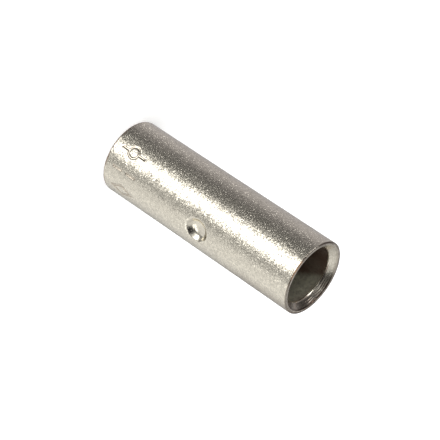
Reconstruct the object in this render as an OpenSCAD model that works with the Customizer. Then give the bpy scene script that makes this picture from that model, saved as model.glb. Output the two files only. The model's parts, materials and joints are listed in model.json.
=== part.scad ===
// Plain butt connector: a tinned copper sleeve that joins two stranded wires end to end.
// One wire goes in at each mouth, up to the punched stop, and the tube is crimped over it.
// The sleeve stands on its lower end, its axis is +Z, and the punch mark faces -Y.

/* [Tube] */
// Outside diameter of the tube
tube_d = 8.0; // [7:0.1:12]
// Thickness of the tube's wall
wall = 1.0; // [0.85:0.05:1.3]
// Length over both ends
tube_len = 24.8; // [22:0.1:40]
// Radius on the outer corner at each end
corner_r = 0.1; // [0.04:0.02:0.16]

/* [Wire mouths] */
// How far the mouth opens beyond the bore, on the radius
mouth_flare = 0.64; // [0.2:0.02:0.66]
// Angle between opposite sides of the mouth's countersink
mouth_angle = 90; // [60:5:110]

/* [Wire stop] */
// How far the stop lies above mid-length
stop_shift = 0.54; // [-1:0.02:1]
// Depth of the punch mark below the outside of the tube
punch_depth = 0.78; // [0.6:0.02:0.86]
// Radius of the punch's end, where its crown meets its side
punch_end_r = 0.85; // [0.7:0.05:1]
// Radius of the crown on the punch's end
punch_crown_r = 2.5; // [2.2:0.1:3.4]
// Angle between the punch's side and its axis
punch_side_angle = 44; // [40:1:48]
// Metal left between the punch mark and the bump inside
stop_skin = 0.85; // [0.7:0.05:0.95]
// How far the wall draws in at the stop, on the radius
draw_in = 0.06; // [0.02:0.01:0.12]
// Length over which the wall draws in, on each side of the stop
draw_taper = 0.8; // [0.6:0.1:1.5]

/* [Stamped marks] */
// Height of the marks, along the tube
mark_h = 3.0; // [2:0.1:4]
// Width of the marks, round the tube
mark_w = 1.4; // [1:0.1:1.8]
// Width of a stamped line
mark_line = 0.2; // [0.12:0.02:0.26]
// Depth of a stamped line
mark_depth = 0.06; // [0.03:0.01:0.12]
// Plain margin between the lower end and the marks
mark_margin = 1.1; // [0.6:0.1:2]
// Angle from one mark to the next, round the tube
mark_pitch = 32; // [28:1:40]
// Angle from the punch mark to the middle mark, round the tube
mark_turn = -14; // [-40:1:40]

/* [Hidden] */
$fn = 96;

// How far a cutting form runs past the surface that it cuts
past = 1;

// Radii from the tube's axis
tube_r = tube_d / 2;
bore_r = tube_r - wall;
mouth_r = bore_r + mouth_flare;
mouth_depth = mouth_flare / tan(mouth_angle / 2);

// The punch's crown has its centre outside the tube, and its side would come to a point inside
stop_z = tube_len / 2 + stop_shift;
crown_rise = punch_crown_r - sqrt(punch_crown_r ^ 2 - punch_end_r ^ 2);
punch_centre_r = tube_r - punch_depth + punch_crown_r;
punch_point_r = tube_r - punch_depth + crown_rise - punch_end_r / tan(punch_side_angle);

// Half the length that the bump takes up in the bore, and half that of the drawn-in stretch
bump_reach = max(0, bore_r - side_point_r(stop_skin)) * tan(punch_side_angle);
bump_margin = 0.2;
drawn_half = bump_reach + bump_margin;

mark_z = mark_margin + mark_h / 2;
mark_gap = mark_h / 5;

// Where the revolved outside starts, round the tube from the punch mark, clear of all the marks
start_turn = 142.5;

tin = [0.78, 0.77, 0.74];

// Where the punch's side would come to a point with a skin of metal over it
function side_point_r(skin) = punch_point_r - skin / sin(punch_side_angle);

// Waste beyond a rounded corner whose arc has its centre at the origin
module corner_waste() {
    difference() {
        square(corner_r + past);
        circle(r = corner_r);
    }
}

// Half-section of the solid bar that the tube's outside comes from
module outside_section() {
    difference() {
        square([tube_r, tube_len]);
        translate([tube_r - corner_r, tube_len - corner_r])
            corner_waste();
        translate([tube_r - corner_r, corner_r])
            mirror([0, 1])
                corner_waste();
    }
}

// Half-section of the bore, with its two mouths: the radius runs across
module bore_section() {
    widest_r = mouth_r + past * tan(mouth_angle / 2);
    polygon([
        [0, -past],
        [widest_r, -past],
        [bore_r, mouth_depth],
        [bore_r, stop_z - drawn_half - draw_taper],
        [bore_r - draw_in, stop_z - drawn_half],
        [bore_r - draw_in, stop_z + drawn_half],
        [bore_r, stop_z + drawn_half + draw_taper],
        [bore_r, tube_len - mouth_depth],
        [widest_r, tube_len + past],
        [0, tube_len + past]
    ]);
}

// The punch's end at the bottom of its stroke, with a skin of metal over it: a crown with a cone for its side
module punch_end(skin) {
    side_h = punch_centre_r - side_point_r(skin);
    translate([0, 0, stop_z])
        rotate([90, 0, 0])
            intersection() {
                translate([0, 0, punch_centre_r])
                    sphere(r = punch_crown_r + skin);
                translate([0, 0, side_point_r(skin)])
                    cylinder(h = side_h, r1 = 0, r2 = side_h * tan(punch_side_angle));
            }
}

// The dent that the punch leaves outside
module punch_mark() {
    punch_end(0);
}

// The bore, less the bump that the punch raises inside, where each wire's end stops
module bore() {
    difference() {
        rotate_extrude()
            bore_section();
        punch_end(stop_skin);
    }
}

// A ring with a short line above it and below it
module ring_mark() {
    line_from = (mark_w - mark_line) / 2;
    difference() {
        circle(d = mark_w);
        circle(d = mark_w - 2 * mark_line);
    }
    for (way = [-1, 1])
        translate([0, way * (mark_h / 2 + line_from) / 2])
            square([mark_line, mark_h / 2 - line_from], center = true);
}

// A line with a gap in the middle
module broken_line_mark() {
    for (way = [-1, 1])
        translate([0, way * (mark_h + mark_gap) / 4])
            square([mark_line, (mark_h - mark_gap) / 2], center = true);
}

// Half_w and half_h are half the diamond's width and height
module diamond(half_w, half_h) {
    polygon([[half_w, 0], [0, half_h], [-half_w, 0], [0, -half_h]]);
}

// A diamond drawn in a line of even width
module diamond_mark() {
    half_w = mark_w / 2;
    half_h = mark_h / 2;
    side = norm([half_w, half_h]);
    difference() {
        diamond(half_w, half_h);
        diamond(half_w - mark_line * side / half_h, half_h - mark_line * side / half_w);
    }
}

// Presses a flat mark into the tube, turned round the axis from the punch mark
module pressed_at(turn) {
    rotate([0, 0, turn])
        translate([0, 0, mark_z])
            rotate([90, 0, 0])
                linear_extrude(tube_r + past)
                    children();
}

// The marks near the lower end, as deep as the tool's face goes in
module stamped_marks() {
    difference() {
        union() {
            pressed_at(mark_turn - mark_pitch)
                ring_mark();
            pressed_at(mark_turn)
                broken_line_mark();
            pressed_at(mark_turn + mark_pitch)
                diamond_mark();
        }
        cylinder(h = tube_len, r = tube_r - mark_depth);
    }
}

module sleeve() {
    color(tin)
        difference() {
            rotate([0, 0, start_turn - 90])
                rotate_extrude()
                    outside_section();
            bore();
            punch_mark();
            stamped_marks();
        }
}

sleeve();
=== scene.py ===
"""Plain butt connector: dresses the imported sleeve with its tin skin, pressed marks and turned mouths."""

import json
import math
from types import SimpleNamespace

import bpy
import numpy as np
from mathutils import Matrix, Vector


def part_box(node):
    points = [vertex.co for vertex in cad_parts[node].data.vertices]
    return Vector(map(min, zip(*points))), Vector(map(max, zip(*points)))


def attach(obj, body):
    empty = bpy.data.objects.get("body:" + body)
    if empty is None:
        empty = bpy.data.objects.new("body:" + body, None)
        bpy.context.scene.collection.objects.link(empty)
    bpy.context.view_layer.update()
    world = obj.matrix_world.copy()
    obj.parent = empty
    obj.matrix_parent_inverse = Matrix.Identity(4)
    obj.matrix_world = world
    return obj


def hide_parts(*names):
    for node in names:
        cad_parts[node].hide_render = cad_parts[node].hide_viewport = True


bl_info = {
    "name": "Butt connector",
    "version": (1, 0, 0),
    "blender": (4, 5, 0),
    "location": "3D View > Sidebar > Connector",
    "description": "Builds a tinned copper butt connector over its packed model",
    "category": "Object",
}

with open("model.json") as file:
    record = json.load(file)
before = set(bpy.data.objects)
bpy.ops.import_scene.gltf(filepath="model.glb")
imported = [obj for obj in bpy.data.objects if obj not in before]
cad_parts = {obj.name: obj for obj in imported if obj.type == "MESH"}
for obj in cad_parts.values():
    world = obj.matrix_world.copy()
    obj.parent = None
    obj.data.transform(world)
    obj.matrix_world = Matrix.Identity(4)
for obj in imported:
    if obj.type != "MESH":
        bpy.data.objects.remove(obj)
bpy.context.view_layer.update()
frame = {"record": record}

MM = 0.001
mounts = {mount["name"]: mount for mount in frame["record"]["mounts"]}
tube_radius = mounts["outside"]["dims"]["r_mm"] * MM
tube_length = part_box("sleeve")[1].z
tube_bore = mounts["upper_wire_bore"]["dims"]["r_mm"] * MM

# Parts of the tube's section, which are also the places of its materials on the piece
SKIN, MOUTH, BORE = 0, 1, 2


def length(name, description, default):
    """A size that a user can change, in metres."""
    return bpy.props.FloatProperty(
        name=name, description=description, default=default, min=0.0, precision=5, unit="LENGTH"
    )


def angle(name, description, degrees):
    """An angle that a user can change, given in degrees and kept in radians."""
    return bpy.props.FloatProperty(
        name=name, description=description, default=math.radians(degrees), subtype="ANGLE"
    )


def colour(name, description, default):
    """A colour that a user can change."""
    return bpy.props.FloatVectorProperty(
        name=name, description=description, default=default, size=3, min=0.0, max=1.0, subtype="COLOR"
    )


def share(name, description, default, highest=1.0):
    """A number from 0 to its highest value that a user can change."""
    return bpy.props.FloatProperty(
        name=name, description=description, default=default, min=0.0, max=highest, subtype="FACTOR"
    )


class SleeveSizes(bpy.types.PropertyGroup):
    """Sizes of the sleeve and of what is pressed and turned into it."""

    radius: length("Radius", "Outside radius of the tube", tube_radius)
    length: length("Length", "Length over both ends", tube_length)
    bore: length("Bore", "Radius of the bore that a wire goes into", tube_bore)
    corner: length("Outer corner", "Radius on the outer corner at each end", 0.10 * MM)
    flare: length("Mouth flare", "How far each mouth opens beyond the bore", 0.64 * MM)
    lip: length("Lip", "Radius on the inner edge of each end's flat ring", 0.06 * MM)
    bore_edge: length("Bore edge", "Radius on the edge between each mouth and the bore", 0.32 * MM)
    stop_height: length("Stop height", "Height of the wire stop above the lower end", 12.94 * MM)
    punch_depth: length("Punch depth", "Depth of the punch mark below the outside", 0.78 * MM)
    punch_end: length("Punch end", "Radius of the punch's end, where its crown meets its side", 0.85 * MM)
    punch_crown: length("Punch crown", "Radius of the crown on the punch's end", 2.5 * MM)
    punch_half: angle("Punch side", "Angle between the punch's side and its axis", 44.0)
    punch_edge: length("Punch edge", "Width over which the punch's crown blends into its side", 0.12 * MM)
    punch_rim: length("Punch rim", "Width over which the punch mark's rim is rounded", 0.12 * MM)
    stop_skin: length("Stop skin", "Metal between the punch mark and the bump inside", 0.85 * MM)
    dish_depth: length("Dish depth", "How far the wall sinks round the punch mark", 0.09 * MM)
    dish_reach: length("Dish reach", "How far from the punch's axis the wall sinks", 1.75 * MM)
    draw_in: length("Draw-in", "How far the bore draws in at the stop", 0.06 * MM)
    draw_half: length("Draw-in half length", "Half the length of the drawn-in stretch", 1.875 * MM)
    draw_taper: length("Draw-in taper", "Length over which the bore draws in", 0.8 * MM)
    mark_height: length("Mark height", "Height of the pressed marks, along the tube", 3.0 * MM)
    mark_width: length("Mark width", "Width of the pressed marks, round the tube", 1.4 * MM)
    mark_line: length("Mark line", "Width of a pressed line", 0.2 * MM)
    mark_depth: length("Mark depth", "Depth of a pressed line", 0.06 * MM)
    mark_margin: length("Mark margin", "Plain wall below the marks", 1.1 * MM)
    mark_pitch: angle("Mark pitch", "Angle from one mark to the next", 32.0)
    mark_turn: angle("Mark turn", "Angle from the punch mark to the middle mark", -14.0)
    groove_pitch: length("Turning pitch", "Distance between turned grooves in a mouth", 0.21 * MM)
    groove_depth: length("Turning depth", "Depth of a turned groove where the tool chattered", 0.028 * MM)
    chatter_turn: angle("Chatter", "Angle from the punch mark to where the tool chattered", 121.0)


class SleeveFinish(bpy.types.PropertyGroup):
    """Colours and grain of the tinned copper."""

    tin: colour("Tin", "Colour of clean tin plating", (0.80, 0.75, 0.635))
    dull_tin: colour("Dull tin", "Colour of tin in the hollows of its grain", (0.62, 0.58, 0.495))
    # Also the colour of the painted shade along the pressed lines
    stain_and_line_shade: colour("Stain", "Colour of handling stains", (0.42, 0.36, 0.29))
    copper: colour("Copper", "Colour of copper where the tin is thin", (0.70, 0.40, 0.22))
    # Also the colour of the painted shade in the mouths and the bore
    burnt_and_shade: colour("Burnt copper", "Colour of tarnished copper at the edges", (0.13, 0.085, 0.06))
    bore_tin: colour("Bore tin", "Colour of the dull plating inside", (0.49, 0.475, 0.375))
    grain_size: length("Grain size", "Size of the tin's grain", 0.10 * MM)
    grain_depth: length("Grain depth", "Height of the tin's grain", 0.019 * MM)
    gloss: share("Roughness", "Roughness of clean tin plating", 0.20)


class StudioLook(bpy.types.PropertyGroup):
    """Camera, light and floor."""

    floor: colour("Floor", "Colour of the floor", (0.93, 0.93, 0.93))
    aim: bpy.props.FloatVectorProperty(
        name="Aim",
        description="Point that the camera looks at",
        default=(0.351 * MM, -0.122 * MM, 12.733 * MM),
        size=3,
        precision=5,
        subtype="TRANSLATION",
        unit="LENGTH",
    )
    distance: length("Distance", "Distance from the camera to its aim", 163.5 * MM)
    azimuth: angle("Azimuth", "Turn of the camera round the tube", -40.0)
    elevation: angle("Elevation", "Height of the camera above the level of its aim", 29.296)
    roll: angle("Roll", "Turn of the camera about its own line of sight", 123.97)
    lens: bpy.props.FloatProperty(
        name="Lens", description="Focal length", default=135.23, min=1.0, subtype="DISTANCE_CAMERA"
    )
    ambient: share("Ambient", "Strength of the light from all round", 0.74, 2.0)


def node(tree, kind, values=None, **settings):
    """Adds a node. Values maps its inputs to numbers, colours or other nodes' outputs."""
    made = tree.nodes.new(kind)
    for name, value in settings.items():
        setattr(made, name, value)
    for key, value in (values or {}).items():
        if isinstance(value, bpy.types.NodeSocket):
            tree.links.new(value, made.inputs[key])
        else:
            made.inputs[key].default_value = value
    return made


def combine(tree, operation, first, second):
    """The result of a Math node."""
    return node(tree, "ShaderNodeMath", {0: first, 1: second}, operation=operation).outputs[0]


def plus(tree, total, value, weight):
    """A total with a weighted value added to it."""
    values = {0: value, 1: weight, 2: total}
    return node(tree, "ShaderNodeMath", values, operation="MULTIPLY_ADD").outputs[0]


def vectors(tree, operation, first, second, output="Vector"):
    """The result of a Vector Math node."""
    return node(tree, "ShaderNodeVectorMath", {0: first, 1: second}, operation=operation).outputs[output]


def ranged(tree, value, from_low, from_high, to_low=0.0, to_high=1.0):
    """Value taken smoothly from one range to another."""
    values = {"Value": value, 1: from_low, 2: from_high, 3: to_low, 4: to_high}
    made = node(tree, "ShaderNodeMapRange", values, interpolation_type="SMOOTHSTEP")
    return made.outputs["Result"]


def noise(tree, place, scale, detail, roughness=0.5):
    """Smooth noise over a place, from 0 to 1."""
    values = {"Vector": place, "Scale": scale, "Detail": detail, "Roughness": roughness}
    return node(tree, "ShaderNodeTexNoise", values).outputs["Fac"]


def mask(tree, name):
    """A mask that the piece's mesh carries."""
    return node(tree, "ShaderNodeAttribute", attribute_name=name).outputs["Fac"]


def tinted(tree, factor, first, second, mode="MIX"):
    """Two colours mixed by a mask."""
    values = {0: factor, 6: first, 7: second}
    return node(tree, "ShaderNodeMix", values, data_type="RGBA", blend_type=mode).outputs[2]


def overlaid(tree, under, over, where, strength):
    """A colour laid over another where a mask is, at a strength."""
    return tinted(tree, combine(tree, "MULTIPLY", where, strength), under, over)


def rgba(values):
    """A colour property with an alpha of 1."""
    return (*values, 1.0)


def new_group(name, inputs, outputs):
    """An empty shader node group with number sockets, and its two end nodes."""
    tree = bpy.data.node_groups.new(name, "ShaderNodeTree")
    for label, default in inputs:
        socket = tree.interface.new_socket(label, in_out="INPUT", socket_type="NodeSocketFloat")
        socket.default_value = default
    for label in outputs:
        tree.interface.new_socket(label, in_out="OUTPUT", socket_type="NodeSocketFloat")
    return tree, tree.nodes.new("NodeGroupInput"), tree.nodes.new("NodeGroupOutput")


def on_the_piece(tree):
    """Places on the object, in metres."""
    return node(tree, "ShaderNodeTexCoord").outputs["Object"]


def tin_grain_group():
    """Grain of tin plating: crystals, each tilted its own way, with frost, pits and soft clouds."""
    tree, given, result = new_group("Tin grain", [("Size", 0.0002)], ["Height", "Mottle", "Flecks"])
    fineness = combine(tree, "DIVIDE", 1.0, given.outputs["Size"])
    place = node(
        tree, "ShaderNodeVectorMath", {0: on_the_piece(tree), "Scale": fineness}, operation="SCALE"
    ).outputs["Vector"]
    crystals = node(tree, "ShaderNodeTexVoronoi", {"Vector": place, "Scale": 1.0}).outputs
    away = vectors(tree, "SUBTRACT", place, crystals["Position"])
    tilt = vectors(tree, "SUBTRACT", crystals["Color"], (0.5, 0.5, 0.5))
    facets = vectors(tree, "DOT_PRODUCT", away, tilt, "Value")
    frost = noise(tree, place, 1.3, 1.0)
    clouds = noise(tree, place, 0.3, 3.0, 0.6)
    specks = noise(tree, place, 0.8, 1.0)
    cells = node(tree, "ShaderNodeTexVoronoi", {"Vector": place, "Scale": 0.5}).outputs
    chance = node(tree, "ShaderNodeSeparateColor", {0: cells["Color"]}).outputs[0]
    round_pit = ranged(tree, cells["Distance"], 0.38, 0.05)
    pits = combine(tree, "MULTIPLY", round_pit, ranged(tree, chance, 0.4, 0.9))
    height = plus(tree, facets, frost, 0.4)
    height = plus(tree, height, clouds, 0.2)
    height = plus(tree, height, pits, -0.9)
    tree.links.new(height, result.inputs["Height"])
    tree.links.new(ranged(tree, clouds, 0.36, 0.64), result.inputs["Mottle"])
    tree.links.new(ranged(tree, specks, 0.52, 0.68), result.inputs["Flecks"])
    return tree


def tarnish_group():
    """Patches of tarnish: large clouds, a little longer along the tube, with a broken edge."""
    tree, given, result = new_group("Tarnish", [("Size", 0.004), ("Cover", 0.4)], ["Mask"])
    place = vectors(tree, "MULTIPLY", on_the_piece(tree), (1.0, 1.0, 0.7))
    fineness = combine(tree, "DIVIDE", 1.0, given.outputs["Size"])
    clouds = noise(tree, place, fineness, 6.0, 0.62)
    low = plus(tree, 0.68, given.outputs["Cover"], -0.35)
    high = combine(tree, "ADD", low, 0.16)
    tree.links.new(ranged(tree, clouds, low, high), result.inputs["Mask"])
    return tree


def edge_wear_group():
    """Wear along the edges of the ends, from each point's distance to its nearest edge."""
    tree, given, result = new_group("Edge wear", [("Reach", 0.0001), ("Breakup", 0.5)], ["Mask"])
    place = on_the_piece(tree)
    ragged = ranged(tree, noise(tree, place, 2600.0, 4.0), 0.3, 0.7, -0.5, 0.5)
    patchy = ranged(tree, noise(tree, place, 420.0, 2.0), 0.35, 0.65, -0.8, 0.8)
    near = combine(tree, "DIVIDE", mask(tree, "edge_distance"), given.outputs["Reach"])
    near = plus(tree, near, combine(tree, "ADD", ragged, patchy), given.outputs["Breakup"])
    tree.links.new(ranged(tree, near, 1.3, 0.5), result.inputs["Mask"])
    return tree


def scratches_group():
    """Fine lines along the tube, and a few that slant across them, in patches."""
    tree, given, result = new_group("Scratches", [("Cover", 0.3)], ["Mask"])
    place = on_the_piece(tree)
    straight = vectors(tree, "MULTIPLY", place, (7000.0, 7000.0, 260.0))
    slanted = node(
        tree, "ShaderNodeMapping",
        {"Vector": place, "Rotation": (0.5, 0.35, 0.0), "Scale": (6500.0, 6500.0, 300.0)},
    ).outputs["Vector"]
    low = plus(tree, 0.74, given.outputs["Cover"], -0.14)
    high = combine(tree, "ADD", low, 0.06)
    highest = combine(tree, "ADD", high, 0.06)
    along = ranged(tree, noise(tree, straight, 1.0, 1.0), low, high)
    across = ranged(tree, noise(tree, slanted, 1.0, 1.0), high, highest)
    patches = ranged(tree, noise(tree, place, 330.0, 2.0), 0.5, 0.62)
    lines = combine(tree, "MULTIPLY", combine(tree, "MAXIMUM", along, across), patches)
    tree.links.new(lines, result.inputs["Mask"])
    return tree


def group_in(tree, group, **values):
    """Places a group in a material with its own values."""
    made = node(tree, "ShaderNodeGroup", node_tree=group)
    for name, value in values.items():
        made.inputs[name.capitalize()].default_value = value
    return made


def new_material(name):
    """A material and its node tree."""
    material = bpy.data.materials.new(name)
    material.use_nodes = True
    return material, material.node_tree


def new_metal(name, metallic=1.0):
    """A metal's material, its node tree and its shader."""
    material, tree = new_material(name)
    shader = tree.nodes["Principled BSDF"]
    shader.inputs["Metallic"].default_value = metallic
    return material, tree, shader


def raised(tree, shader, height, depth):
    """Feeds a height to the shader's normal through a Bump node."""
    bump = node(tree, "ShaderNodeBump", {"Height": height, "Distance": depth, "Strength": 1.0})
    tree.links.new(bump.outputs["Normal"], shader.inputs["Normal"])


def tinned_skin(finish, groups):
    """Outside wall: frosted tin with handling stains and painted shade along the pressed lines, worn to
    copper at the ends' edges.
    """
    material, tree, shader = new_metal("tinned_skin")
    grain = group_in(tree, groups["grain"], size=finish.grain_size).outputs
    stains = group_in(tree, groups["tarnish"], size=3.4 * MM, cover=0.25).outputs["Mask"]
    wear = group_in(tree, groups["wear"], reach=0.08 * MM, breakup=0.6).outputs["Mask"]
    lines = group_in(tree, groups["scratches"], cover=0.5).outputs["Mask"]
    pressed = mask(tree, "pressed")
    marked = mask(tree, "marked")
    stain_and_line_shade = rgba(finish.stain_and_line_shade)

    plating = overlaid(tree, rgba(finish.tin), rgba(finish.dull_tin), grain["Mottle"], 0.7)
    plating = overlaid(tree, plating, stain_and_line_shade, stains, 0.24)
    # Painted shade darkens the sides of the pressed lines, where the mask is neither 0 nor 1
    line_shade = plus(tree, 3.5, marked, -3.2)
    plating = overlaid(tree, plating, stain_and_line_shade, marked, line_shade)
    plating = overlaid(tree, plating, stain_and_line_shade, mask(tree, "handled"), plus(tree, 0.5, stains, 0.25))
    worn = tinted(tree, mask(tree, "reddish"), rgba(finish.burnt_and_shade), rgba(finish.copper))
    plating = overlaid(tree, plating, worn, wear, mask(tree, "brown_wear_and_painted_shade"))
    tree.links.new(plating, shader.inputs["Base Color"])

    rough = ranged(tree, grain["Mottle"], 0.0, 1.0, finish.gloss - 0.04, finish.gloss + 0.04)
    for where, weight in ((stains, 0.06), (grain["Flecks"], 0.09), (pressed, -0.09), (lines, -0.06)):
        rough = plus(tree, rough, where, weight)
    tree.links.new(rough, shader.inputs["Roughness"])

    flattened = plus(tree, 1.0, pressed, -0.75)
    rise = combine(tree, "MULTIPLY", grain["Height"], flattened)
    raised(tree, shader, plus(tree, rise, lines, -0.2), finish.grain_depth)
    return material


def turned_mouth(finish, groups):
    """End rings and countersinks: tin over turned copper, with the tool's marks showing, and painted shade
    in the grooves and in bands round the mouths.
    """
    material, tree, shader = new_metal("turned_mouth")
    grain = group_in(tree, groups["grain"], size=finish.grain_size * 0.7).outputs
    stains = group_in(tree, groups["tarnish"], size=1.6 * MM, cover=0.5).outputs["Mask"]
    wear = group_in(tree, groups["wear"], reach=0.20 * MM, breakup=0.4).outputs["Mask"]
    burnt_and_shade = rgba(finish.burnt_and_shade)

    plating = overlaid(tree, rgba(finish.tin), rgba(finish.dull_tin), grain["Mottle"], 0.5)
    plating = overlaid(tree, plating, rgba(finish.copper), stains, 0.30)
    plating = overlaid(tree, plating, burnt_and_shade, wear, mask(tree, "brown_wear_and_painted_shade"))
    # Painted shade: the mouth's colour turns dark in the tool's grooves and in bands where its reflections
    # should be dark
    plating = overlaid(tree, plating, burnt_and_shade, mask(tree, "painted_mouth_shade"), 0.8)
    tree.links.new(plating, shader.inputs["Base Color"])
    rough = ranged(tree, grain["Mottle"], 0.0, 1.0, finish.gloss - 0.10, finish.gloss - 0.01)
    tree.links.new(rough, shader.inputs["Roughness"])
    raised(tree, shader, grain["Height"], finish.grain_depth * 0.4)
    return material


def drawn_bore(finish, groups):
    """Inside wall: thin dull plating with lines along it from drawing, tarnish, and painted shade that
    darkens one side and the mouth ends.
    """
    material, tree, shader = new_metal("drawn_bore", metallic=0.7)
    grain = group_in(tree, groups["grain"], size=finish.grain_size * 1.2).outputs
    stains = group_in(tree, groups["tarnish"], size=2.6 * MM, cover=0.9).outputs["Mask"]
    lines = group_in(tree, groups["scratches"], cover=0.9).outputs["Mask"]
    hollows = rgba([0.72 * level for level in finish.bore_tin])

    plating = tinted(tree, grain["Mottle"], rgba(finish.bore_tin), hollows)
    # Painted shade darkens the bore to burnt brown, with tarnish clouds over it
    bore_shade_and_tarnish = plus(tree, combine(tree, "MULTIPLY", mask(tree, "brown_wear_and_painted_shade"), 0.85), stains, 0.15)
    plating = tinted(tree, bore_shade_and_tarnish, plating, rgba(finish.burnt_and_shade))
    tree.links.new(plating, shader.inputs["Base Color"])
    rough = ranged(tree, grain["Mottle"], 0.0, 1.0, finish.gloss + 0.18, finish.gloss + 0.30)
    tree.links.new(rough, shader.inputs["Roughness"])
    raised(tree, shader, plus(tree, grain["Height"], lines, -0.6), finish.grain_depth * 0.6)
    return material


def smooth_step(value, low, high):
    """0 below low, 1 above high, and smooth in between."""
    t = np.clip((value - low) / (high - low), 0.0, 1.0)
    return t * t * (3.0 - 2.0 * t)


def band(value, starts, full, fades, ends):
    """1 from full to fades, 0 up to where it starts and from where it ends, and smooth in between."""
    return smooth_step(value, starts, full) * (1.0 - smooth_step(value, fades, ends))


def smooth_min(first, second, blend):
    """The smaller of two surfaces, with the edge where they meet rounded off."""
    h = np.clip(0.5 + 0.5 * (second - first) / blend, 0.0, 1.0)
    return second * (1.0 - h) + first * h - blend * h * (1.0 - h)


def spaced(stops, steps):
    """Values from the first stop to the last, about one step apart between each two stops."""
    runs = [
        np.linspace(low, high, max(1, round((high - low) / step)), endpoint=False)
        for low, high, step in zip(stops, stops[1:], steps)
    ]
    return np.concatenate([*runs, stops[-1:]])


def ripples(points, size, count, seed):
    """A smooth random field over points, about -1 to 1, with bumps of about one size."""
    draw = np.random.default_rng(seed)
    ways = draw.normal(size=(count, 3))
    ways *= (2.0 * math.pi / size * draw.uniform(0.6, 1.4, count) / np.linalg.norm(ways, axis=1))[:, None]
    phases = draw.uniform(0.0, 2.0 * math.pi, count)
    return np.cos(points @ ways.T + phases).sum(axis=-1) / math.sqrt(count)


# The way out of a countersink that slopes at 45 degrees, both across and up
SLOPE = math.sqrt(0.5)
# An arc that rounds the countersink's edge begins this share of its radius away from the corner
TANGENT = math.tan(math.pi / 8)
# How far from an edge the rounded lip and the bore's wall count as lying
LIP_EDGE = 0.1 * MM
WALL_EDGE = 1.0 * MM


def end_section(sizes):
    """One end of the tube's section, from its outer corner to its bore. Each row is a radius, a depth below
    the end, the way out of the metal across and up, the part and the distance to the nearest edge."""
    inner = sizes.bore + sizes.flare
    outer = sizes.radius - sizes.corner
    slope_ends = sizes.flare - (1.0 - SLOPE) * sizes.bore_edge
    rows = []
    for turn in spaced([0.0, math.pi / 2], [math.pi / 10])[1:]:
        across, up = math.cos(turn), math.sin(turn)
        rows.append((outer + sizes.corner * across, sizes.corner * (1.0 - up), across, up, SKIN, 0.0))
    for r in spaced([outer, inner + sizes.lip], [0.08 * MM])[1:-1]:
        rows.append((r, 0.0, 0.0, 1.0, MOUTH, outer - r))
    for turn in spaced([0.0, math.pi / 4], [math.pi / 12]):
        across, up = -math.sin(turn), math.cos(turn)
        r = inner + sizes.lip * (TANGENT + across)
        rows.append((r, sizes.lip * (1.0 - up), across, up, MOUTH, LIP_EDGE))
    for depth in spaced([sizes.lip, slope_ends], [sizes.groove_pitch / 8])[:-1]:
        rows.append((inner - depth, depth, -SLOPE, SLOPE, MOUTH, depth * math.sqrt(2.0)))
    for turn in spaced([math.pi / 4, 0.0], [-math.pi / 28]):
        across, up = math.cos(turn), math.sin(turn)
        r = sizes.bore + sizes.bore_edge * (1.0 - across)
        depth = sizes.flare + sizes.bore_edge * (TANGENT - up)
        rows.append((r, depth, -across, up, MOUTH if turn > 0.0 else BORE, depth * math.sqrt(2.0)))
    return rows


def section(sizes):
    """The tube's section, once round. Each row is a radius, a height, the way out of the metal across and
    up, the part and the distance to the nearest edge of an end."""
    fine, coarse = 0.075 * MM, 0.16 * MM
    reach = sizes.dish_reach + sizes.punch_rim
    below, above = sizes.stop_height - reach, sizes.stop_height + reach
    marks_from, marks_to = sizes.mark_margin, sizes.mark_margin + sizes.mark_height
    wall = spaced(
        [sizes.corner, marks_from, marks_to, below, above, sizes.length - sizes.corner],
        [0.10 * MM, fine, coarse, fine, coarse],
    )
    mouth = sizes.flare + sizes.bore_edge * TANGENT
    inside = spaced([mouth, below, above, sizes.length - mouth], [0.6 * MM, 0.12 * MM, 0.5 * MM])
    end = end_section(sizes)
    outside_rows = [(sizes.radius, z, 1.0, 0.0, SKIN, min(z, sizes.length - z)) for z in wall]
    inside_rows = [(sizes.bore, z, -1.0, 0.0, BORE, WALL_EDGE) for z in inside[-2:0:-1]]
    upper_end = [(r, sizes.length - depth, *way_out, part, edge) for r, depth, *way_out, part, edge in end]
    lower_end = [(r, depth, across, -up, part, edge) for r, depth, across, up, part, edge in reversed(end)]
    return np.array(outside_rows + upper_end + inside_rows + lower_end)


def on_ball(turn, rise, centre, radius):
    """How far from the tube's axis a ball on the punch's axis begins."""
    return centre * np.cos(turn) - np.sqrt(radius**2 - rise**2 - (centre * np.sin(turn)) ** 2)


def on_cone(turn, rise, apex, half):
    """How far from the tube's axis a cone round the punch's axis begins."""
    spread = math.tan(half) ** 2
    a = np.sin(turn) ** 2 - spread * np.cos(turn) ** 2
    b = 2.0 * spread * apex * np.cos(turn)
    c = rise**2 - spread * apex**2
    return (-b - np.sqrt(b * b - 4.0 * a * c)) / (2.0 * a)


def punch_form(turn, rise, skin, sizes):
    """How far from the tube's axis the punch's end begins, with a skin of metal over it, and 1 where there
    is none. The end is crowned, with a cone for its side."""
    end = sizes.radius - sizes.punch_depth
    apex = end + sizes.punch_crown * (1.0 - math.cos(math.asin(sizes.punch_end / sizes.punch_crown)))
    apex -= sizes.punch_end / math.tan(sizes.punch_half) + skin / math.sin(sizes.punch_half)
    with np.errstate(invalid="ignore"):
        ball = on_ball(turn, rise, end + sizes.punch_crown, sizes.punch_crown + skin)
        cone = on_cone(turn, rise, apex, sizes.punch_half)
    found = -smooth_min(-ball, -cone, sizes.punch_edge + skin)
    found = np.where(np.isfinite(ball), found, cone)
    return np.where(np.isfinite(found) & (found > 0.0) & (np.cos(turn) > 0.5), found, 1.0)


def bar(across, along, centre, half_width, half_height):
    """Distance outside a bar that stands upright at a height."""
    return np.maximum(np.abs(across) - half_width, np.abs(along - centre) - half_height)


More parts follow.
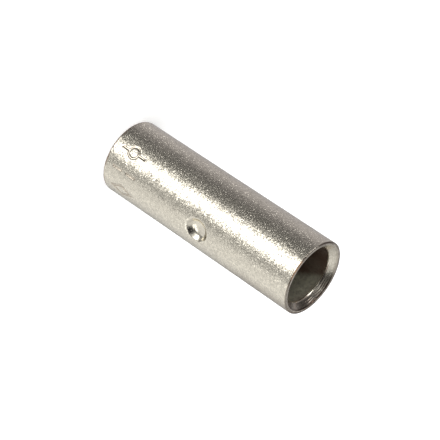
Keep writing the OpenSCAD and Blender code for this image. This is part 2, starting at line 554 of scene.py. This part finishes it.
def ring_mark(across, along, sizes):
    """Distance outside the lines of a ring with a short line above it and below it."""
    half_line = sizes.mark_line / 2
    ring = np.abs(np.hypot(across, along) - (sizes.mark_width / 2 - half_line)) - half_line
    reach = (sizes.mark_height - sizes.mark_width) / 4 + half_line / 2
    centre = sizes.mark_height / 2 - reach
    upper = bar(across, along, centre, half_line, reach)
    lower = bar(across, along, -centre, half_line, reach)
    return np.minimum(ring, np.minimum(upper, lower))


def broken_line_mark(across, along, sizes):
    """Distance outside the lines of an upright line with a gap in its middle."""
    gap = sizes.mark_height / 5
    reach = (sizes.mark_height - gap) / 4
    centre = gap / 2 + reach
    upper = bar(across, along, centre, sizes.mark_line / 2, reach)
    lower = bar(across, along, -centre, sizes.mark_line / 2, reach)
    return np.minimum(upper, lower)


def diamond_mark(across, along, sizes):
    """Distance outside the lines of a diamond."""
    half_width, half_height = sizes.mark_width / 2, sizes.mark_height / 2
    side = math.hypot(half_width, half_height)
    beyond = (np.abs(across) * half_height + np.abs(along) * half_width - half_width * half_height) / side
    return np.abs(beyond + sizes.mark_line / 2) - sizes.mark_line / 2


def marks_pressed(grid, sizes):
    """How much of the marks' full depth is pressed in at each point, from 0 to 1."""
    soft = 0.045 * MM
    along = grid.height - (sizes.mark_margin + sizes.mark_height / 2)
    pressed = np.zeros_like(grid.turn)
    for number, mark in ((-1, ring_mark), (0, broken_line_mark), (1, diamond_mark)):
        turned = grid.turn - (sizes.mark_turn + number * sizes.mark_pitch)
        away = mark(sizes.radius * np.sin(turned), along, sizes)
        depth = np.where(np.cos(turned) > 0.0, 1.0 - smooth_step(away, -soft, soft), 0.0)
        pressed = np.maximum(pressed, depth)
    return pressed


def knocks(grid, sizes):
    """Depth of the small dents that the skin picks up in a box with others like it."""
    count = 90
    # Least and most, in millimetres
    widths, depths = (0.06, 0.22), (0.002, 0.007)
    draw = np.random.default_rng(41)
    depth = np.zeros_like(grid.turn)
    for _ in range(count):
        turn = draw.uniform(-math.pi, math.pi)
        height = draw.uniform(0.02, 0.98) * sizes.length
        width, tall = draw.uniform(*widths, 2) * MM
        across = sizes.radius * np.sin(grid.turn - turn)
        near = (across / width) ** 2 + ((grid.height - height) / tall) ** 2
        facing = np.cos(grid.turn - turn) > 0.0
        depth += np.where(facing, draw.uniform(*depths) * MM * np.exp(-near), 0.0)
    return depth


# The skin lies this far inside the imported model's outside, so that its waves and lumps don't pass it
SKIN_SUNK = 0.008 * MM
SKIN_WAVES = 0.0022 * MM
SKIN_LUMPS = 0.0010 * MM
# Lumps in the mouths and the bore, and in the punch mark
INSIDE_LUMPS = 0.0015 * MM
PUNCH_LUMPS = 0.002 * MM
# How far from the ends' edges the skin's unevenness, knocks and dish fade out
END_FADE = 0.3 * MM
# How much wider the bump's foot in the bore is rounded than the punch mark's rim
BUMP_ROUND = 3.0
# The mesh's columns are finer between these turns, where the marks and the punch mark are, in degrees
FINE_TURNS = (-62.0, 38.0)
FINE_STEP, COARSE_STEP = 1.05, 1.9


def sleeve_grid(sizes):
    """The points of the sleeve's plain form: a row for each point of its section and a column for each
    turn, with the fields and the parts that its shape and its masks need."""
    fine_from, fine_to = np.radians(FINE_TURNS)
    steps = np.radians([FINE_STEP, COARSE_STEP])
    turns = spaced([fine_from, fine_to, fine_from + 2.0 * math.pi], steps)[:-1]
    rows = section(sizes)
    r, z, out_r, out_z, part, edge = (rows[:, column][:, None] for column in range(6))
    turn = np.broadcast_to(turns, (len(rows), len(turns)))
    height = np.broadcast_to(z, turn.shape)
    points = np.stack([sizes.radius * np.sin(turn), -sizes.radius * np.cos(turn), height], axis=-1)
    return SimpleNamespace(
        r=r, out_r=out_r, out_z=out_z, part=part, edge=edge, turn=turn, height=height,
        rise=height - sizes.stop_height,
        wavy=ripples(points, 2.2 * MM, 40, seed=11),
        lumpy=ripples(points, 0.75 * MM, 60, seed=12),
        on_wall=(part == SKIN) & (out_r > 0.999),
        on_slope=(part == MOUTH) & (edge > LIP_EDGE) & (np.abs(out_z) > 0.99 * SLOPE),
        on_bore_edge=(part == MOUTH) & (out_r < -1.01 * SLOPE),
        on_lower_skin=(part == SKIN) & (height < sizes.length / 2),
    )


def turned_grooves(grid, sizes):
    """The shape of the tool's spiral groove in the mouths, and how much the tool chattered, both 0 to 1."""
    calm = 0.08
    chatter = calm + (1.0 - calm) * smooth_step(np.cos(grid.turn - sizes.chatter_turn), 0.80, 0.95)
    chatter = chatter * smooth_step(grid.r - sizes.bore, 0.3 * sizes.bore_edge, 0.6 * sizes.bore_edge)
    spiral = grid.edge / sizes.groove_pitch + grid.turn / (2.0 * math.pi) + 0.15 * grid.wavy
    groove = 0.5 + 0.5 * np.cos(2.0 * math.pi * spiral) * (0.7 + 0.3 * grid.lumpy)
    return groove, chatter


def sunk_below(grid, pressed, groove, chatter, sizes):
    """How far each point sinks below the plain form, apart from the punch mark and the bump."""
    from_punch = np.hypot(sizes.radius * np.sin(grid.turn / 2) * 2.0, grid.rise)
    dish = sizes.dish_depth * np.exp(-((from_punch / sizes.dish_reach) ** 2))
    fade = smooth_step(grid.edge, 0.0, END_FADE)
    sunk = SKIN_SUNK + SKIN_WAVES * grid.wavy + SKIN_LUMPS * grid.lumpy
    sunk = np.where(grid.part == SKIN, sunk, INSIDE_LUMPS * (grid.lumpy + 2.0))
    wall_sunk = sunk + dish + knocks(grid, sizes) + sizes.mark_depth * pressed
    sunk = np.where(grid.on_wall, wall_sunk * fade + SKIN_SUNK * (1.0 - fade), sunk)
    sunk = np.where(grid.on_slope, sunk + sizes.groove_depth * chatter * groove, sunk)
    return np.maximum(sunk, 0.0)


def punched(grid, radial, dent, sizes):
    """Radii with the dent pressed into the wall, and the bump raised in the bore where it draws in."""
    dented = smooth_min(radial, dent + PUNCH_LUMPS * grid.lumpy, sizes.punch_rim)
    radial = np.where(grid.on_wall, dented, radial)
    bump = punch_form(grid.turn, grid.rise, sizes.stop_skin, sizes)
    beyond = smooth_step(np.abs(grid.rise), sizes.draw_half, sizes.draw_half + sizes.draw_taper)
    drawn = radial - sizes.draw_in * (1.0 - beyond)
    return np.where(grid.part == BORE, smooth_min(drawn, bump, BUMP_ROUND * sizes.punch_rim), radial)


# How brown the flat rings and the upper outer corner have worn, by turn from the punch mark in degrees
RING_WEAR = [(0, 0.1), (60, 0.4), (80, 1.0), (145, 1.0), (165, 0.4), (200, 0.3), (230, 0.1), (360, 0.1)]
CORNER_WEAR = [
    (0, 0.5), (20, 0.4), (40, 0.4), (70, 1.0), (155, 1.0), (175, 0.6), (215, 0.5), (232, 0.4), (245, 0.85),
    (266, 0.85), (275, 0.45), (284, 0.2), (296, 0.55), (303, 0.75), (330, 0.8), (345, 0.85), (360, 0.5),
]
# How brown and how red the lower outer corner has worn all round, and what its edge's distance counts for
LOWER_BROWN, LOWER_RED, LOWER_NEAR = 0.7, 0.25, 0.6
# Where the upper outer corner has worn to red copper, in degrees from the punch mark
RED_TURN = -36.0
# Bands of painted shade round a mouth, darkening its colour where it should mirror dark and cutting short
# the glint on the bore's edge, in radians from the punch mark: where each starts, is full, fades and ends
SLOPE_SHADE = (1.0, 1.5, 2.65, 2.95)
BORE_EDGE_SHADE = (2.35, 2.6, 3.0, 3.3)
GLINT_END_SHADE = (1.35, 1.5, 1.78, 1.96)


def wear_and_painted_shade(grid, sizes):
    """How much the flat rings and the outer corners have worn brown, and how much painted shade darkens the
    bore, from 0 to 1.
    """
    around = grid.turn % (2.0 * math.pi)
    depth = np.minimum(grid.height, sizes.length - grid.height)
    # One side of the bore is darkened brown by painted shade. The turn where it begins leans back, the
    # further in the more
    begins_at_end, leans, over = math.radians(158.0), math.radians(20.0), 2.4 * MM
    begins = begins_at_end - depth / over * leans
    shaded_side = band(around, begins - 0.12, begins + 0.12, 3.9, 4.6)
    shallow = 1.0 - smooth_step(depth, 0.8 * MM, 1.5 * MM)
    # Painted shade on one side of the bore near the mouth
    shade_near_mouth = 0.5 * shallow * smooth_step(np.sin(around), 0.1, 0.6)
    on_ring, on_corner = (np.interp(np.degrees(around), *zip(*wear)) for wear in (RING_WEAR, CORNER_WEAR))
    on_corner = np.where(grid.on_lower_skin, LOWER_BROWN, on_corner)
    outside_bore = np.where(grid.part == MOUTH, on_ring, on_corner)
    return np.where(grid.part == BORE, np.maximum(shaded_side, shade_near_mouth), outside_bore)


def smudge(grid):
    """How much the skin has dulled where the tube was handled, from 0 to 1."""
    sooner = smooth_step(grid.height, 15.5 * MM, 20.0 * MM)
    begins = math.radians(30.0) - math.radians(15.0) * sooner
    around = band(grid.turn, begins - 0.1, begins + 0.35, 1.6, 2.2)
    return np.where(grid.part == SKIN, around * smooth_step(grid.height, 14.0 * MM, 18.5 * MM), 0.0)


def mouth_painted_shade(grid, groove, chatter, sizes):
    """Painted shade on the countersinks, in the tool's groove and along the bore's edge, from 0 to 1: it
    darkens the colour where the reflections should be dark.
    """
    shade_eased = smooth_step(np.cos(grid.turn - sizes.chatter_turn), 0.90, 0.99)
    on_slope = 0.55 * band(grid.turn, *SLOPE_SHADE) * (1.0 - 0.75 * shade_eased)
    on_slope = np.maximum(on_slope, smooth_step(groove, 0.4, 0.9) * chatter)
    # Painted shade on the bore's edge dims its bright line and cuts the glint short
    on_edge = band(grid.turn, *BORE_EDGE_SHADE) + 0.6 * band(grid.turn, *GLINT_END_SHADE)
    return np.where(grid.on_bore_edge, on_edge, np.where(grid.on_slope, on_slope, 0.0))


def closed_faces(row_count, column_count):
    """Four-sided faces over rows and columns of points that close on themselves both ways."""
    corner = np.arange(row_count * column_count).reshape(row_count, column_count)
    up, right = np.roll(corner, -1, axis=0), np.roll(corner, -1, axis=1)
    return np.stack([corner, right, np.roll(up, -1, axis=1), up], axis=-1).reshape(-1, 4)


def sleeve_mesh(sizes):
    """The sleeve as one closed mesh, with its materials' places and the masks that they read."""
    grid = sleeve_grid(sizes)
    pressed = marks_pressed(grid, sizes)
    groove, chatter = turned_grooves(grid, sizes)
    dent = punch_form(grid.turn, grid.rise, 0.0, sizes)
    sunk = sunk_below(grid, pressed, groove, chatter, sizes)
    radial = punched(grid, grid.r - grid.out_r * sunk, dent, sizes)
    level = grid.height - grid.out_z * sunk
    places = np.stack([radial * np.sin(grid.turn), -radial * np.cos(grid.turn), level], axis=-1)
    faces = closed_faces(*grid.turn.shape)

    mesh = bpy.data.meshes.new("sleeve_dressed")
    mesh.from_pydata(places.reshape(-1, 3), [], faces)
    mesh.polygons.foreach_set("use_smooth", np.ones(len(faces), bool))
    kinds = np.minimum(grid.part, np.roll(grid.part, -1, axis=0)).astype(np.int32)
    mesh.polygons.foreach_set("material_index", np.repeat(kinds[:, 0], grid.turn.shape[1]))
    in_dent = smooth_step(sizes.radius - dent, -0.05 * MM, 0.15 * MM)
    red_corner = smooth_step(np.cos(grid.turn - math.radians(RED_TURN)), 0.95, 0.985)
    masks = {
        "edge_distance": np.where(grid.on_lower_skin, LOWER_NEAR * grid.edge, grid.edge),
        "pressed": np.where(grid.on_wall, np.maximum(pressed, in_dent), 0.0),
        # Worn brown rings and corners, and painted shade in the bore
        "brown_wear_and_painted_shade": wear_and_painted_shade(grid, sizes),
        "reddish": np.where(grid.on_lower_skin, LOWER_RED, red_corner),
        "marked": np.where(grid.on_wall, pressed, 0.0),
        # The mouths' painted shade
        "painted_mouth_shade": mouth_painted_shade(grid, groove, chatter, sizes),
        "handled": smudge(grid),
    }
    for name, values in masks.items():
        layer = mesh.attributes.new(name, "FLOAT", "POINT")
        layer.data.foreach_set("value", values.astype(np.float32).ravel())
    mesh.update()
    if mesh.validate():
        raise RuntimeError("the sleeve's mesh has faults")
    return mesh


class CONNECTOR_OT_sleeve(bpy.types.Operator):
    """Builds the dressed sleeve and its three finishes"""

    bl_idname = "connector.sleeve"
    bl_label = "Sleeve"

    def execute(self, context):
        sizes, finish = context.scene.sleeve_sizes, context.scene.sleeve_finish
        groups = {
            "grain": tin_grain_group(),
            "tarnish": tarnish_group(),
            "wear": edge_wear_group(),
            "scratches": scratches_group(),
        }
        piece = bpy.data.objects.new("dressed_sleeve", sleeve_mesh(sizes))
        context.scene.collection.objects.link(piece)
        for make in (tinned_skin, turned_mouth, drawn_bore):
            piece.data.materials.append(make(finish, groups))
        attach(piece, "root")
        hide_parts("sleeve")
        return {"FINISHED"}


def seen_directly(tree):
    """1 for a ray from the camera, a reflection or through glass, and 0 for the light on a surface."""
    path = node(tree, "ShaderNodeLightPath").outputs
    seen = combine(tree, "MAXIMUM", path["Is Camera Ray"], path["Is Glossy Ray"])
    return combine(tree, "MAXIMUM", seen, path["Is Transmission Ray"])


def make_floor(look):
    """A large pale floor that fades into the background and keeps the shadow."""
    reach = 2.0
    lift = 0.12
    mesh = bpy.data.meshes.new("floor")
    corners = [(-reach, -reach, 0.0), (reach, -reach, 0.0), (reach, reach, 0.0), (-reach, reach, 0.0)]
    mesh.from_pydata(corners, [], [(0, 1, 2, 3)])
    floor = bpy.data.objects.new("floor", mesh)
    bpy.context.scene.collection.objects.link(floor)
    material, tree = new_material("pale_floor")
    shader = tree.nodes["Principled BSDF"]
    shader.inputs["Base Color"].default_value = rgba(look.floor)
    shader.inputs["Roughness"].default_value = 0.9
    shader.inputs["Specular IOR Level"].default_value = 0.0
    shader.inputs["Emission Color"].default_value = (1.0, 1.0, 1.0, 1.0)
    glow = combine(tree, "MULTIPLY", seen_directly(tree), lift)
    tree.links.new(glow, shader.inputs["Emission Strength"])
    mesh.materials.append(material)
    floor.visible_glossy = False


# What the tube mirrors: how bright the tent is, by turn from the camera's side in degrees. Each row holds
# from its height, in degrees above the level of the set, up to the next row's. An upright wall mirrors what
# lies as far below the level as the camera is above it.
WALL_LEFT = [
    (-180, 0.34), (-150, 0.54), (-112, 0.54), (-94, 0.38), (-76, 0.17), (-60, 0.12), (-40, 0.15),
    (-26, 0.26),
]
WALL_RIGHT = [(95, 1.0), (130, 0.80), (155, 0.48)]
HIGH_LEFT = [
    (-180, 0.50), (-150, 0.16), (-120, 0.06), (-86, 0.10), (-76, 0.80), (-50, 0.80), (-40, 0.50),
    (-28, 0.10), (-16, 0.07),
]
HIGH_RIGHT = [(95, 0.80), (130, 0.66), (180, 0.50)]
TENT_SHADES = {
    -90: [
        (-180, 0.40), (-100, 0.35), (-30, 0.34), (8, 0.34), (26, 0.22), (42, 0.22), (56, 0.95), (120, 1.0),
        (180, 0.50),
    ],
    -44: [
        *WALL_LEFT, (-9, 2.6), (4, 2.6), (12, 0.5), (33, 0.38), (46, 0.34), (60, 0.80), *WALL_RIGHT,
        (165, 0.32), (180, 0.30),
    ],
    -37: [
        *WALL_LEFT, (-9, 3.6), (15, 3.6), (24, 0.75), (33, 0.40), (46, 0.36), (60, 0.82), *WALL_RIGHT,
        (165, 0.32), (180, 0.30),
    ],
    -18: [
        *WALL_LEFT, (-9, 3.6), (6, 3.6), (14, 0.5), (33, 0.28), (48, 0.25), (54, 2.4), (62, 2.4),
        (68, 0.80), *WALL_RIGHT, (180, 0.30),
    ],
    -8: [
        (-180, 0.42), (-160, 0.30), (-100, 0.20), (-66, 0.30), (-55, 0.05), (-30, 0.35), (-12, 1.2),
        (8, 1.2), (20, 0.35), (40, 0.05), (54, 0.90), (58, 0.90), (63, 2.4), (75, 2.4), (81, 0.90),
        (108, 0.90), (126, 0.60), (150, 0.48), (180, 0.42),
    ],
    6: [
        (-180, 0.50), (-150, 0.20), (-130, 0.50), (-68, 0.9), (-60, 9.0), (-48, 9.0), (-40, 0.50),
        (-30, 0.30), (-12, 0.6), (6, 0.6), (20, 0.30), (40, 0.08), (58, 0.60), (66, 1.3), (80, 1.3),
        (86, 0.80), (108, 0.90), (130, 0.60), (180, 0.50),
    ],
    20: [*HIGH_LEFT, (41, 0.07), (49, 2.2), (78, 2.2), (86, 0.76), *HIGH_RIGHT],
    31: [*HIGH_LEFT, (56, 0.07), (66, 0.60), *HIGH_RIGHT],
    38: [
        (-180, 0.50), (-150, 0.12), (-110, 0.05), (-80, 0.09), (-45, 0.16), (-25, 0.09), (-8, 0.03),
        (46, 0.03), (56, 0.05), (67, 0.42), (76, 0.60), (95, 0.86), (120, 0.84), (150, 0.55), (180, 0.50),
    ],
    72: [(-180, 0.50), (-90, 0.30), (-76, 1.5), (-46, 1.5), (-30, 0.20), (90, 0.30), (180, 0.50)],
}
# A row passes into the next over this many degrees on each side of that one's start
SHADES_SOFT = 5.0
# The room's tint on the tent's left side: it starts at the first turn and is full from the second
ROOM_TINT = (1.0, 0.96, 1.0)
ROOM_TURNS = (-50.4, -79.2)


def round_tent(degrees):
    """A turn from the camera's side as a place from 0 to 1 round the tent."""
    return degrees / 360.0 + 0.5


def shade_ramp(tree, place, shades, brightest):
    """A ramp that takes a place from 0 to 1 round the tent to its brightness there."""
    ramp = node(tree, "ShaderNodeValToRGB", {0: place})
    stops = ramp.color_ramp.elements
    while len(stops) < len(shades):
        stops.new(0.5)
    for stop, (degrees, level) in zip(stops, shades):
        stop.position = round_tent(degrees)
        stop.color = rgba([level / brightest] * 3)
    return ramp.outputs[0]


def tent_cloth():
    """The tent's material, which glows in its shades by the way that each point lies from the set."""
    material, tree = new_material("tent_cloth")
    tree.nodes.remove(tree.nodes["Principled BSDF"])
    way = node(tree, "ShaderNodeVectorMath", {0: on_the_piece(tree)}, operation="NORMALIZE").outputs
    part = node(tree, "ShaderNodeSeparateXYZ", {0: way["Vector"]}).outputs
    turn = combine(tree, "ARCTAN2", part["X"], combine(tree, "MULTIPLY", part["Y"], -1.0))
    place = plus(tree, 0.5, turn, 0.5 / math.pi)
    height = combine(tree, "MULTIPLY", combine(tree, "ARCSINE", part["Z"], 0.0), math.degrees(1.0))
    brightest = max(level for shades in TENT_SHADES.values() for _, level in shades)
    shown = None
    for start, shades in TENT_SHADES.items():
        ramp = shade_ramp(tree, place, shades, brightest)
        if shown is None:
            shown = ramp
        else:
            above = ranged(tree, height, start - SHADES_SOFT, start + SHADES_SOFT)
            shown = tinted(tree, above, shown, ramp)
    in_room = ranged(tree, place, *(round_tent(degrees) for degrees in ROOM_TURNS))
    shown = tinted(tree, in_room, shown, rgba(ROOM_TINT), mode="MULTIPLY")
    glow = node(tree, "ShaderNodeEmission", {"Color": shown, "Strength": brightest})
    tree.links.new(glow.outputs[0], tree.nodes["Material Output"].inputs["Surface"])
    return material


def make_tent(look):
    """A light tent round the set, seen only in reflections: white cloth with dark and bright parts."""
    middle = (0.0, 0.0, 12.4 * MM)
    bpy.ops.mesh.primitive_uv_sphere_add(segments=64, ring_count=32, radius=0.7, location=middle)
    tent = bpy.context.active_object
    tent.name = "light_tent"
    tent.rotation_euler.z = look.azimuth
    tent.data.materials.append(tent_cloth())
    tent.visible_camera = False
    tent.visible_diffuse = False
    tent.visible_shadow = False
    tent.visible_transmission = False


def make_world(look):
    """Even white light from all round, white where it is seen directly."""
    world = bpy.data.worlds.new("studio")
    bpy.context.scene.world = world
    world.use_nodes = True
    tree = world.node_tree
    background = tree.nodes["Background"]
    background.inputs["Color"].default_value = (1.0, 1.0, 1.0, 1.0)
    strength = ranged(tree, seen_directly(tree), 0.0, 1.0, look.ambient, 1.0)
    tree.links.new(strength, background.inputs["Strength"])


def make_lamp(name, place, size, power):
    """A soft square lamp that shines on the tube's foot."""
    lamp = bpy.data.lights.new(name, "AREA")
    lamp.shape = "SQUARE"
    lamp.size = size
    lamp.energy = power
    holder = bpy.data.objects.new(name, lamp)
    holder.location = place
    holder.rotation_euler = Vector(place).to_track_quat("Z", "Y").to_euler()
    holder.visible_glossy = False
    bpy.context.scene.collection.objects.link(holder)


def make_camera(look):
    """The camera, at the photograph's viewing angle."""
    camera = bpy.data.objects.new("camera", bpy.data.cameras.new("camera"))
    bpy.context.scene.collection.objects.link(camera)
    camera.data.lens = look.lens
    camera.data.clip_start = look.distance * 0.05
    camera.data.clip_end = look.distance * 50.0
    level = Matrix.Rotation(look.azimuth, 4, "Z") @ Matrix.Rotation(math.pi / 2 - look.elevation, 4, "X")
    turned = level @ Matrix.Rotation(look.roll, 4, "Z")
    back = turned.to_3x3() @ Vector((0.0, 0.0, 1.0))
    camera.matrix_world = Matrix.Translation(Vector(look.aim) + back * look.distance) @ turned
    bpy.context.scene.camera = camera


class CONNECTOR_OT_studio(bpy.types.Operator):
    """Builds the floor, the light and the camera"""

    bl_idname = "connector.studio"
    bl_label = "Studio"

    def execute(self, context):
        look = context.scene.studio_look
        make_camera(look)
        make_floor(look)
        make_tent(look)
        make_world(look)
        make_lamp("overhead_lamp", (0.10, -0.12, 0.45), size=0.5, power=1.6)
        make_lamp("side_lamp", (-0.35, 0.10, 0.30), size=0.4, power=0.7)
        context.scene.view_settings.view_transform = "Standard"
        return {"FINISHED"}


class CONNECTOR_PT_panel(bpy.types.Panel):
    """Lists what builds the connector, and its sizes and colours"""

    bl_idname = "CONNECTOR_PT_panel"
    bl_label = "Butt connector"
    bl_space_type = "VIEW_3D"
    bl_region_type = "UI"
    bl_category = "Connector"

    def draw(self, context):
        for operator in operators:
            self.layout.operator(operator.bl_idname)
        for values in (context.scene.sleeve_sizes, context.scene.sleeve_finish, context.scene.studio_look):
            box = self.layout.box()
            for name in values.__annotations__:
                box.prop(values, name)


operators = (CONNECTOR_OT_studio, CONNECTOR_OT_sleeve)
classes = (SleeveSizes, SleeveFinish, StudioLook, *operators, CONNECTOR_PT_panel)


def register():
    for kind in classes:
        bpy.utils.register_class(kind)
    bpy.types.Scene.sleeve_sizes = bpy.props.PointerProperty(type=SleeveSizes)
    bpy.types.Scene.sleeve_finish = bpy.props.PointerProperty(type=SleeveFinish)
    bpy.types.Scene.studio_look = bpy.props.PointerProperty(type=StudioLook)


def unregister():
    del bpy.types.Scene.studio_look
    del bpy.types.Scene.sleeve_finish
    del bpy.types.Scene.sleeve_sizes
    for kind in reversed(classes):
        bpy.utils.unregister_class(kind)


def main():
    """Builds everything."""
    register()
    bpy.ops.connector.studio()
    bpy.ops.connector.sleeve()


if __name__ == "__main__":
    main()
